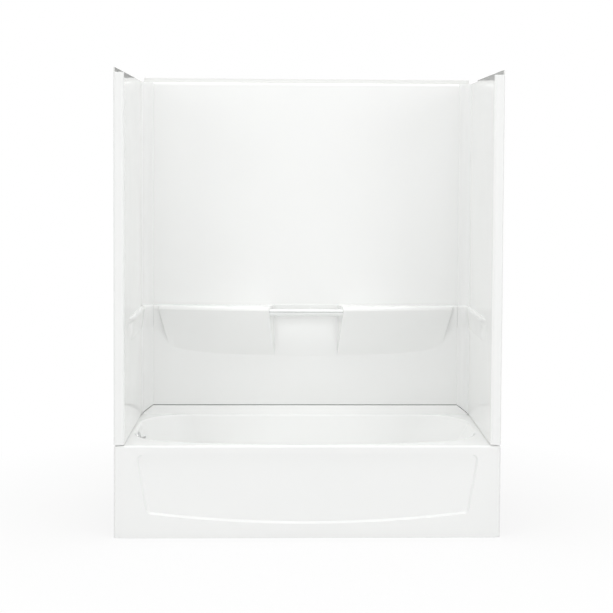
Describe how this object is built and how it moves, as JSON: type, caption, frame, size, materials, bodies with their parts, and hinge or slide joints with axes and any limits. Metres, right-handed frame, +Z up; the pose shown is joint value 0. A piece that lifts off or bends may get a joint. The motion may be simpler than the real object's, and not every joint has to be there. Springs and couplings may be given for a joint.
{
  "type": "tub and shower unit",
  "caption": "White moulded alcove bath with apron, coved end walls and a back wall with bowed ledge, towel bar and trip-lever overflow.",
  "frame": {"origin": "on the floor, in the middle of the unit's width and depth", "axes": "+X towards the end away from the drain, +Y from the apron towards the back wall, +Z up"},
  "size_m": [1.524, 0.762, 1.845],
  "materials": {
    "white_shell": "high-gloss moulded white",
    "white_bar": "gloss white extrusion",
    "dark_gasket": "matt dark strip",
    "foam_seal": "grey cellular foam",
    "spring_steel": "plain spring steel",
    "support_pad": "rough moulded pad",
    "brace_board": "sawn board",
    "waste_pipe": "black pipe plastic",
    "chrome": "polished chrome plate",
    "brass": "plain brass"
  },
  "bodies": {
    "unit": {"bath_shell": "white_shell", "back_wall": "white_shell", "left_end_wall": "white_shell", "right_end_wall": "white_shell", "towel_bar": "white_bar", "deck_gasket_back": "dark_gasket", "deck_gasket_left": "dark_gasket", "deck_gasket_right": "dark_gasket", "corner_seal_left": "foam_seal", "corner_seal_right": "foam_seal", "corner_clips": "spring_steel", "bearing_pads": "support_pad", "apron_brace": "brace_board", "waste_pipe": "waste_pipe", "drain_flange": "chrome", "overflow_plate": "chrome", "lever_pin": "spring_steel"},
    "lever": {"trip_lever": "chrome"},
    "stopper": {"lift_rod": "brass", "plunger": "brass"}
  },
  "joints": [
    {"name": "lever_turn", "type": "hinge", "parent": "unit", "child": "lever", "pos_m": [-0.70704, -0.0225, 0.318], "axis": [0, 1, 0], "range_deg": [0, 40]},
    {"name": "stopper_lift", "type": "slide", "parent": "unit", "child": "stopper", "axis": [0, 0, 1], "range_m": [0, 0.0196]}
  ],
  "couplings": [
    {"joint": "lever_turn", "follows": "stopper_lift", "rad_per_m": 35.573}
  ]
}
